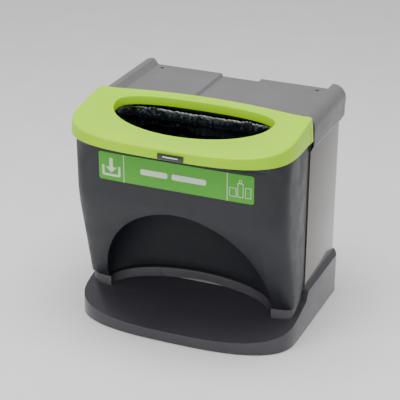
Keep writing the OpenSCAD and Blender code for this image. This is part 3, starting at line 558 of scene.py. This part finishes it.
def make_sack():
    """The polythene sack, from its floor up the bucket, over the hoop and down outside it."""
    s = sizes()
    deep = (s.seam_y - RAIL_TO_HOOP - hoop_front()) / math.cos(s.lid_angle)
    corner, steps = [], 24
    for cx, cy, start in ((1, 1, 0), (-1, 1, 90), (-1, -1, 180), (1, -1, 270)):
        for k in range(steps + 1):
            t = math.radians(start + 90 * k / steps)
            corner.append((cx * (s.hoop_half - s.hoop_corner) + s.hoop_corner * math.cos(t),
                           deep / 2 + cy * (deep / 2 - s.hoop_corner)
                           + s.hoop_corner * math.sin(t)))
    count = SACK_POINTS
    ring = resample(corner, count, closed=True)
    out = offset_ring(ring, 1.0) - ring
    turn = np.arange(count) / count * 2 * math.pi
    rng = random.Random(SACK_SEED)
    waves = [(rng.randint(5, 60), rng.uniform(0, 6.28), rng.uniform(0.4, 1.0),
              rng.uniform(-1.2, 1.2)) for _ in range(FOLD_WAVES)]

    def folds(depth, seed):
        """Folds round the ring at a depth below the hoop; they drift and merge lower down."""
        total = np.zeros(count)
        for k, phase, size, drift in waves:
            fade = math.exp(-k * depth / 2600)
            total += size * fade * np.sin(k * turn + phase + drift * depth / 60 + seed)
        return 1 - 2 * np.abs(np.tanh(total / 2.2))

    rings = []
    grip = s.hoop_r + 0.8
    over = np.exp(-((np.abs(ring[:, 0]) - 110) / 13) ** 4)
    steps = 22
    for k in range(steps + 1):
        t = k / steps
        depth = s.sack_fold * (1 - t)
        tail = 1 + 0.12 * np.sin(turn * 5 + 1.0) + 0.08 * np.sin(turn * 13)
        spread = grip + 1.0 + 5.0 * (1 - t) ** 0.7
        shift = s.wrinkle * 0.55 * (1 - t) ** 0.5 * folds(depth, 0.0)
        p = ring + out * (spread + np.maximum(shift, -spread + grip))[:, None]
        rings.append(hoop_plane(p[:, 0], p[:, 1], -depth * tail))
    steps = 9
    for k in range(1, steps):
        t = math.pi * k / steps
        p = ring + out * (grip * math.cos(t) + 0.35 * folds(0, 0.0) * math.sin(t))[:, None]
        rise = grip + s.puff * (0.82 + 0.18 * folds(0, 2.0)) + 1.5 * over
        rings.append(hoop_plane(p[:, 0], p[:, 1], rise * math.sin(t)))
    inner = ring - out * grip
    base = hoop_plane(inner[:, 0], inner[:, 1], 0 * turn)
    front_y = s.nose_y + LID_OVERHANG + BUCKET_AHEAD + 7
    share = (base[:, 1] - base[:, 1].min()) / (base[:, 1].max() - base[:, 1].min())
    steps = 63
    for k in range(1, steps + 1):
        t = k / steps
        z = base[:, 2] * (1 - t) + FLOOR_Z * t
        level = float(z.mean())
        depth = WIDE_FROM - level
        grow = float(smooth_step(WIDE_FROM, WIDE_BY, level))
        slant = float(smooth_step(SHELF_Z + 18, SHELF_Z - 95, level))
        near = front_y + (STEP_Y - front_y) * slant
        px = base[:, 0] * (1 + (BUCKET_HALF / HOOP_BAR_HALF - 1) * grow)
        goal = near + (BUCKET_BACK - near) * share
        py = base[:, 1] * (1 - grow) + goal * grow
        fold = s.wrinkle * (0.5 + 0.9 * float(smooth_step(0, 120, depth)))
        sag = float(smooth_step(8, 78, depth) * (1 - smooth_step(150, 300, depth)))
        rear = 0.12 + 0.88 * np.clip(share, 0, 1) ** 1.3
        loose = 0.82 + 0.18 * np.sin(3 * turn + 0.8) * np.sin(5 * turn + depth / 40)
        push = fold * (folds(depth, 0.6) - 0.6) - s.sag * sag * loose * rear
        lift = np.array([noise.noise(Vector((q[0] / 30, q[1] / 30, level / 24)))
                         + 0.5 * noise.noise(Vector((q[0] / 13, q[1] / 13, level / 11)))
                         for q in base])
        z = z + (1 - 2 * np.abs(lift)) * 9.0 * float(smooth_step(6, 40, depth)) * (t < 0.9)
        px, py = px + out[:, 0] * push, py + out[:, 1] * push
        rings.append(np.column_stack([px, np.maximum(py, front_y + 3 * slant), z]))
    last = rings[-1]
    centre = np.array([0.0, last[:, 1].mean(), FLOOR_Z])
    for t in (0.15, 0.35, 0.6, 0.85, 0.98):
        ripple = 3.0 * (folds(300, 2.0 + t) + 1) * (1 - t)
        flat = last * (1 - t) + centre * t
        flat[:, 2] = FLOOR_Z + ripple
        rings.append(flat)
    made = closed_loft("polythene_sack", rings, "black_polythene_film", 60, wrap=False)
    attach(made, "container")
    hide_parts("sack")
    return made


PLINTH_EDGE = 2.2


def make_body():
    """The front body, with its moulded radii."""
    softened("front_body", "front_body_moulding", "slate_polypropylene_moulded",
             sizes().edge, 3, 32)


def make_housing():
    """The rear housing, with its moulded radii."""
    softened("housing", "housing_moulding", "grey_abs_gloss_panel",
             sizes().edge, 3, 40)


def make_roof():
    """The roof moulding, with the radii of its rails and channel."""
    softened("roof_cap", "roof_moulding", "mid_grey_abs_moulded",
             sizes().edge, 3, 20)


def make_plinth():
    """The plinth, with wider radii."""
    softened("plinth", "plinth_moulding", "dark_grey_abs_satin",
             PLINTH_EDGE, 4, 30)


LABEL = (("label", "green_vinyl_printed", "green_label"),
         ("label_dividers", "white_ink_printed", "white_print"),
         ("label_symbol", "white_ink_printed", "white_print"),
         ("label_bars", "white_ink_printed", "white_print"),
         ("label_icons", "white_ink_printed", "white_print"))


def make_label():
    """The label and its printed marks."""
    for node, material, name_slot in LABEL:
        carried(node, material)


def make_badge():
    """The badge's plate and its plain bar."""
    softened("badge", "badge_plate", "black_gloss_badge", 0.4, 2, 50)
    carried("badge_bar", "white_ink_printed")


STEEL = ("plinth_floor_screws", "housing_screws", "tilt_stop_pegs", "pivot_lug_left",
         "pivot_lug_right", "tilt_pin_left", "tilt_pin_right", "bucket_screws",
         "hinge_bracket_left", "hinge_bracket_right", "hinge_pin_left", "hinge_pin_right")
BLACK = ("plinth_floor", "top_rail", "leg_fork_left", "leg_fork_right", "bucket",
         "bucket_blocks", "hoop_clips", "hinge_knuckle_left", "hinge_knuckle_right")


def make_hardware():
    """The plated steel parts, the sack hoop and the roof screws."""
    for node in STEEL:
        softened(node, node + "_plated", "zinc_plated_steel", 0.25, 2, 50)
    hoop = carried("sack_hoop", "zinc_plated_steel")
    shade(hoop, 50)
    softened("roof_screws", "roof_screw_heads", "black_oxide_screw", 0.3, 2, 50)


def make_mouldings():
    """The black mouldings, bushes, feet and pads."""
    for node in BLACK:
        softened(node, node + "_moulded", "black_polypropylene_moulded",
                 0.5, 2, 50)
    for node in ("tilt_bushes_left", "tilt_bushes_right"):
        softened(node, node + "_machined", "white_acetal_machined", 0.2, 2, 50)
    for node in ("rubber_feet", "rest_pads"):
        softened(node, node + "_moulded", "black_rubber", 1.2, 3, 50)


def area_light(name, at, target, size, watts):
    """A soft rectangular light aimed at a point, in millimetres."""
    lamp = bpy.data.lights.new(name, "AREA")
    lamp.shape = "RECTANGLE"
    lamp.size, lamp.size_y = size[0] * MM, size[1] * MM
    lamp.energy = watts
    made = bpy.data.objects.new(name, lamp)
    bpy.context.scene.collection.objects.link(made)
    place = Vector(at) * MM
    made.location = place
    made.rotation_euler = (Vector(target) * MM - place).to_track_quat("-Z", "Y").to_euler()


FLOOR_HALF = 9000
SENSOR_MM = 36.0
FOCAL_SHARE = 3.7275                       # focal length over the sensor's width
CAMERA_AT = (1134.6, -2800.7, 1610.6)
CAMERA_TURN, CAMERA_TIP, CAMERA_ROLL = (math.radians(v) for v in (22.16, 23.82, 0.71))
LIGHTS = (("key_softbox", (-1500, -2200, 2600), (0, 0, 250), (1800, 1400), 26),
          ("fill_softbox", (2400, -900, 1500), (0, 0, 250), (1500, 1500), 3),
          ("top_softbox", (100, -300, 2700), (0, 0, 400), (1800, 1200), 60))


def make_stage():
    """Floor, world, lights and camera."""
    corners = [(FLOOR_HALF * x, FLOOR_HALF * y, 0)
               for x, y in ((-1, -1), (1, -1), (1, 1), (-1, 1))]
    floor = mesh_object("studio_floor", corners, [(0, 1, 2, 3)], "studio_floor_vinyl")
    world = bpy.data.worlds.new("studio")
    bpy.context.scene.world = world
    world.use_nodes = True
    tree = world.node_tree
    tree.nodes.clear()
    place = add(tree, "TexCoord").outputs["Generated"]
    up = add(tree, "SeparateXYZ", {"Vector": place}).outputs["Z"]
    fade = add(tree, "ValToRGB", {"Fac": up})
    fade.color_ramp.elements[0].color = (0.82, 0.82, 0.83, 1)
    fade.color_ramp.elements[1].color = (1.0, 1.0, 1.0, 1)
    sky = add(tree, "Background", {"Color": fade.outputs["Color"], "Strength": 0.62})
    add(tree, "OutputWorld", {"Surface": sky.outputs["Background"]})
    for lamp in LIGHTS:
        area_light(*lamp)
    lens = bpy.data.cameras.new("bin_camera")
    lens.sensor_fit = "HORIZONTAL"
    lens.sensor_width = SENSOR_MM
    lens.lens = FOCAL_SHARE * SENSOR_MM
    lens.shift_y = -0.0046
    lens.clip_end = 50
    camera = bpy.data.objects.new("bin_camera", lens)
    bpy.context.scene.collection.objects.link(camera)
    turn, tip, roll = CAMERA_TURN, CAMERA_TIP, CAMERA_ROLL
    look = Vector((-math.sin(turn) * math.cos(tip), math.cos(turn) * math.cos(tip),
                   -math.sin(tip)))
    across = Vector((math.cos(turn), math.sin(turn), 0))
    above = across.cross(look)
    right = math.cos(roll) * across + math.sin(roll) * above
    head = -math.sin(roll) * across + math.cos(roll) * above
    pose = Matrix((right, head, -look)).transposed().to_4x4()
    pose.translation = Vector(CAMERA_AT) * MM
    camera.matrix_world = pose
    bpy.context.scene.camera = camera


# ---------- operators ----------

class PieceOperator(bpy.types.Operator):
    """Base of the building operators."""
    bl_options = {"REGISTER", "UNDO"}


class BIN_OT_materials(PieceOperator):
    """Makes every material."""
    bl_idname = "recycling_bin.materials"
    bl_label = "Materials"

    def execute(self, context):
        make_materials()
        return {"FINISHED"}


class BIN_OT_lid(PieceOperator):
    """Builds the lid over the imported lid."""
    bl_idname = "recycling_bin.lid"
    bl_label = "Lid"

    def execute(self, context):
        make_lid()
        return {"FINISHED"}


class BIN_OT_badge(PieceOperator):
    """Builds the badge on the lid's skirt."""
    bl_idname = "recycling_bin.badge"
    bl_label = "Badge"

    def execute(self, context):
        make_badge()
        return {"FINISHED"}


class BIN_OT_sack(PieceOperator):
    """Builds the wrinkled polythene sack over the hoop."""
    bl_idname = "recycling_bin.sack"
    bl_label = "Sack"

    def execute(self, context):
        made = make_sack()
        if len(made.data.polygons) < 1000:
            raise RuntimeError("the sack came out with too few faces")
        return {"FINISHED"}


class BIN_OT_body(PieceOperator):
    """Builds the front body with its arched niche."""
    bl_idname = "recycling_bin.body"
    bl_label = "Front body"

    def execute(self, context):
        make_body()
        return {"FINISHED"}


class BIN_OT_label(PieceOperator):
    """Gives the label and its printed marks their materials."""
    bl_idname = "recycling_bin.label"
    bl_label = "Label"

    def execute(self, context):
        make_label()
        return {"FINISHED"}


class BIN_OT_housing(PieceOperator):
    """Builds the rear housing's gloss shell."""
    bl_idname = "recycling_bin.housing"
    bl_label = "Housing"

    def execute(self, context):
        make_housing()
        return {"FINISHED"}


class BIN_OT_roof(PieceOperator):
    """Builds the roof moulding with its rails and channel."""
    bl_idname = "recycling_bin.roof"
    bl_label = "Roof"

    def execute(self, context):
        make_roof()
        return {"FINISHED"}


class BIN_OT_plinth(PieceOperator):
    """Builds the plinth moulding with its tray."""
    bl_idname = "recycling_bin.plinth"
    bl_label = "Plinth"

    def execute(self, context):
        make_plinth()
        return {"FINISHED"}


class BIN_OT_hardware(PieceOperator):
    """Builds the plated steel parts and the screws."""
    bl_idname = "recycling_bin.hardware"
    bl_label = "Steel parts"

    def execute(self, context):
        make_hardware()
        return {"FINISHED"}


class BIN_OT_mouldings(PieceOperator):
    """Builds the black mouldings, bushes, pads and feet."""
    bl_idname = "recycling_bin.mouldings"
    bl_label = "Small mouldings"

    def execute(self, context):
        make_mouldings()
        return {"FINISHED"}


class BIN_OT_stage(PieceOperator):
    """Builds the floor, the lights and the camera."""
    bl_idname = "recycling_bin.stage"
    bl_label = "Stage"

    def execute(self, context):
        make_stage()
        return {"FINISHED"}


OPERATORS = (BIN_OT_materials, BIN_OT_plinth, BIN_OT_housing, BIN_OT_roof, BIN_OT_body,
             BIN_OT_label, BIN_OT_lid, BIN_OT_badge, BIN_OT_hardware, BIN_OT_mouldings,
             BIN_OT_sack, BIN_OT_stage)


class BIN_PT_panel(bpy.types.Panel):
    """Sidebar panel that lists the build steps."""
    bl_idname = "BIN_PT_panel"
    bl_label = "Recycling bin"
    bl_space_type = "VIEW_3D"
    bl_region_type = "UI"
    bl_category = "Recycling bin"

    def draw(self, context):
        for step in OPERATORS:
            self.layout.operator(step.bl_idname)
        for group in (context.scene.recycling_bin_sizes, context.scene.recycling_bin_colours):
            box = self.layout.box()
            for key in group.__annotations__:
                box.prop(group, key)


CLASSES = (BinSizes, BinColours, *OPERATORS, BIN_PT_panel)


def register():
    for cls in CLASSES:
        bpy.utils.register_class(cls)
    bpy.types.Scene.recycling_bin_sizes = PointerProperty(type=BinSizes)
    bpy.types.Scene.recycling_bin_colours = PointerProperty(type=BinColours)


def unregister():
    del bpy.types.Scene.recycling_bin_colours
    del bpy.types.Scene.recycling_bin_sizes
    for cls in reversed(CLASSES):
        bpy.utils.unregister_class(cls)


def main():
    register()
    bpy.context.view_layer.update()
    for step in OPERATORS:
        group, name = step.bl_idname.split(".")
        getattr(getattr(bpy.ops, group), name)()


if __name__ == "__main__":
    main()
